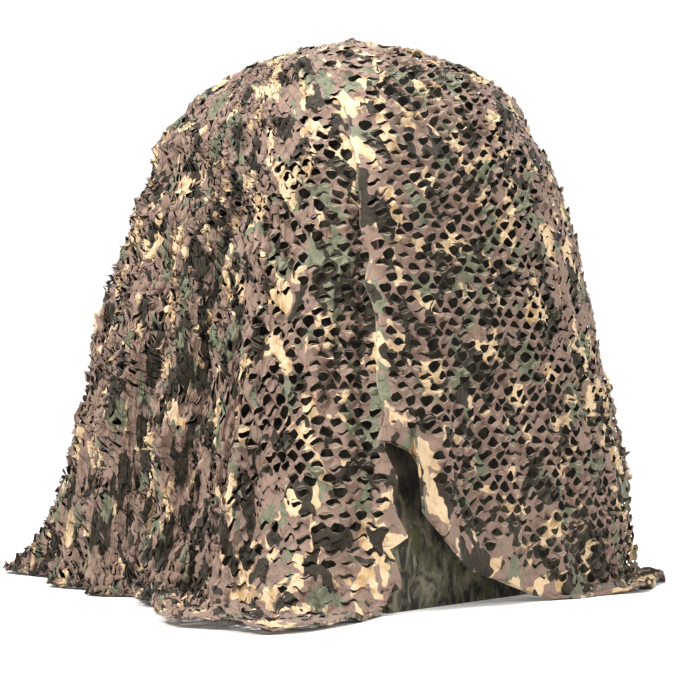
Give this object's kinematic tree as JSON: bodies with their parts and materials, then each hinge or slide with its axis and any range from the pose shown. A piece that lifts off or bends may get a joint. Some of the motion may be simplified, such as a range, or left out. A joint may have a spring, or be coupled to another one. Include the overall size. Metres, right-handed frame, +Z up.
{
  "type": "camouflage net over dome hide",
  "caption": "Die-cut camouflage net draped over a plain pop-up dome hide, parted at the front, its hem lying on the ground.",
  "frame": {"origin": "middle of the whole outline, on the ground", "axes": "+Z up, -Y towards the parting at the front ridge of the hide, +X to the right of someone who faces the parting"},
  "size_m": [2.1592, 2.4114, 1.718],
  "materials": {
    "net_cloth": "matt die-cut cloth, woodland print",
    "hide_cloth": "matt tent cloth, dull bark print"
  },
  "bodies": {
    "root": {"camouflage_net": "net_cloth", "hide_gore_front_right": "hide_cloth", "hide_gore_back_right": "hide_cloth", "hide_gore_back_left": "hide_cloth", "hide_gore_front_left": "hide_cloth"}
  },
  "joints": []
}
